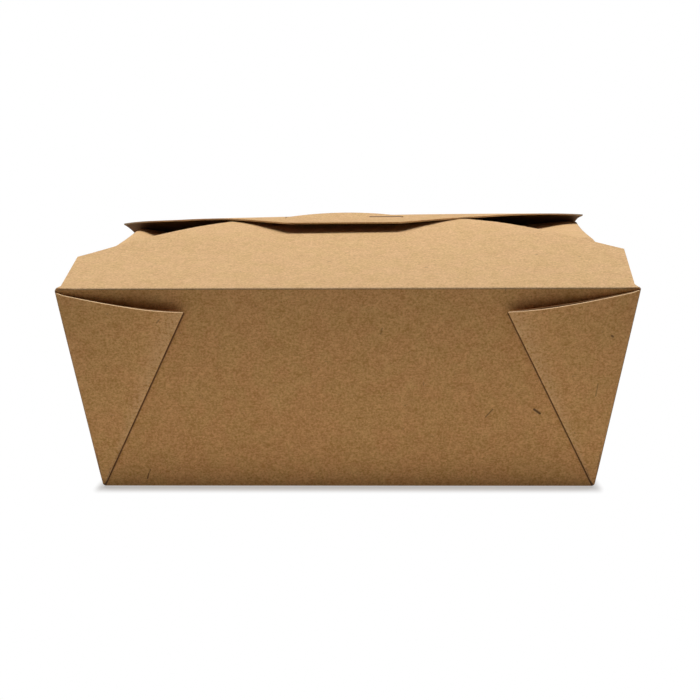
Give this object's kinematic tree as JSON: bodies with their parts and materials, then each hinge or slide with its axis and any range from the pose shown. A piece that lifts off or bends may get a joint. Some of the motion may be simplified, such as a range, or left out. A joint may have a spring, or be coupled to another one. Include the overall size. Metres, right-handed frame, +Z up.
{
  "type": "takeaway box",
  "caption": "Folded kraft board takeaway box with webbed corners, tucked end flaps and a hinged top flap held by a half-moon tongue.",
  "frame": {"origin": "middle of the base, on the table", "axes": "+Z up, +X along the long walls to the viewer's right, -Y towards the viewer"},
  "size_m": [0.1747, 0.1474, 0.082],
  "materials": {
    "kraft_board": "matte, unbleached, with fine fibres",
    "kraft_board_flap": "matte, unbleached, with fine fibres"
  },
  "bodies": {
    "carton": {"carton": "kraft_board"},
    "lid_flap": {"lid_flap": "kraft_board_flap"}
  },
  "joints": [
    {"name": "lid_hinge", "type": "hinge", "parent": "carton", "child": "lid_flap", "pos_m": [0, 0.07055, 0.06275], "axis": [-1, 0, 0], "range_deg": [0, 130]}
  ]
}
